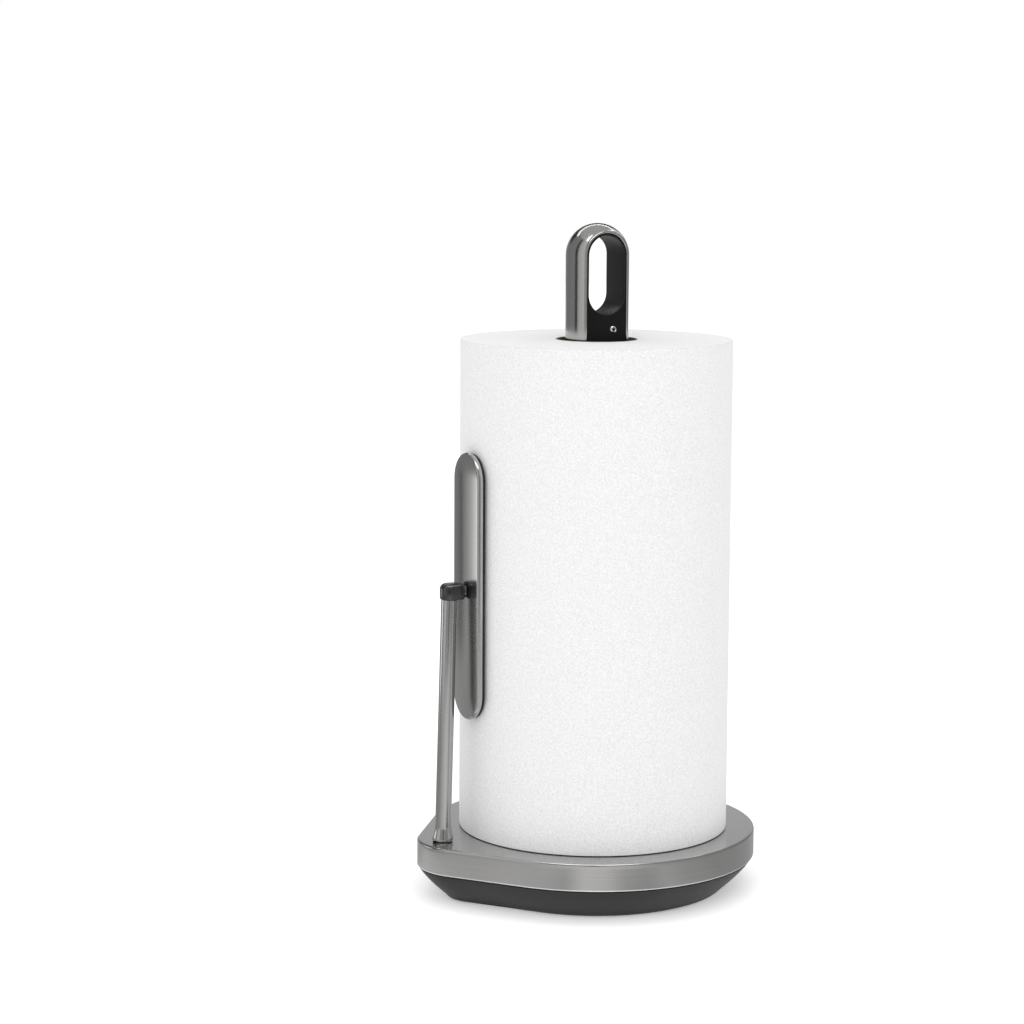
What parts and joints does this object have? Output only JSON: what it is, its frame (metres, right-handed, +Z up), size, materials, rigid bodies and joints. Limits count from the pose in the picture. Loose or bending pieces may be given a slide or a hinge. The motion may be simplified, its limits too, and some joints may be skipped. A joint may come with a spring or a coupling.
{
  "type": "paper towel holder",
  "caption": "Free-standing paper towel holder: weighted base, upright column with a finger loop, and a sprung arm whose paddle steadies a loaded paper roll.",
  "frame": {"origin": "where the column's axis meets the surface that the base stands on", "axes": "+Z up along the column, -X from the column towards the arm, and the open faces of the finger loop look along Y"},
  "size_m": [0.2015, 0.186, 0.3796],
  "materials": {
    "brushed_steel": "satin, brushed along the band, tube and paddle",
    "charcoal_plastic": "fine matt texture",
    "black_plastic": "satin moulded",
    "gray_plastic": "satin moulded",
    "nylon": "natural",
    "pad_rubber": "matt",
    "paddle_rubber": "matt",
    "cast_ballast": "as cast, painted",
    "cast_aluminium": "as cast",
    "zinc_steel": "zinc plated",
    "spring_steel": "drawn wire",
    "bright_screw": "bright plated",
    "cardboard": "plain wound board",
    "paper": "soft embossed tissue"
  },
  "bodies": {
    "base": {"non_slip_pad": "pad_rubber", "base_housing": "charcoal_plastic", "housing_screws": "zinc_steel", "ballast_weight": "cast_ballast", "base_shell": "brushed_steel", "column_bolts": "zinc_steel", "column_washers": "zinc_steel", "column_plug": "cast_aluminium", "plug_screws": "zinc_steel", "column_band": "brushed_steel", "core_front": "black_plastic", "core_rear": "black_plastic", "core_screw": "bright_screw", "weld_studs": "zinc_steel", "arm_brackets": "zinc_steel", "bracket_nuts": "zinc_steel", "hinge_bushes": "nylon"},
    "arm": {"hinge_pin": "zinc_steel", "hinge_clips": "spring_steel", "torsion_spring": "spring_steel", "pivot_block": "cast_aluminium", "arm_tube": "brushed_steel", "arm_collar": "brushed_steel", "arm_head": "black_plastic", "paddle_pin": "zinc_steel"},
    "paddle": {"paddle_lug": "zinc_steel", "lug_screws": "zinc_steel", "paddle_shell": "brushed_steel", "paddle_backing": "gray_plastic", "paddle_pad": "paddle_rubber"},
    "roll_core": {"cardboard_core": "cardboard"},
    "roll_paper": {"paper_roll": "paper"}
  },
  "joints": [
    {"name": "arm_swing", "type": "hinge", "parent": "base", "child": "arm", "pos_m": [-0.09628, 0, 0.025], "axis": [0, -1, 0], "range_deg": [0, 4], "stiffness_Nm_per_rad": 0.5, "springref_deg": -25.78},
    {"name": "paddle_tilt", "type": "hinge", "parent": "arm", "child": "paddle", "pos_m": [-0.0868, 0, 0.177], "axis": [0, -1, 0], "range_deg": [-4, 0]},
    {"name": "roll_lift", "type": "slide", "parent": "base", "child": "roll_core", "axis": [0, 0, 1], "range_m": [0, 0.352]},
    {"name": "roll_spin", "type": "hinge", "parent": "roll_core", "child": "roll_paper", "pos_m": [0, 0, 0.174], "axis": [0, 0, 1], "continuous": true}
  ],
  "couplings": [
    {"joint": "paddle_tilt", "follows": "arm_swing", "ratio": -1}
  ]
}
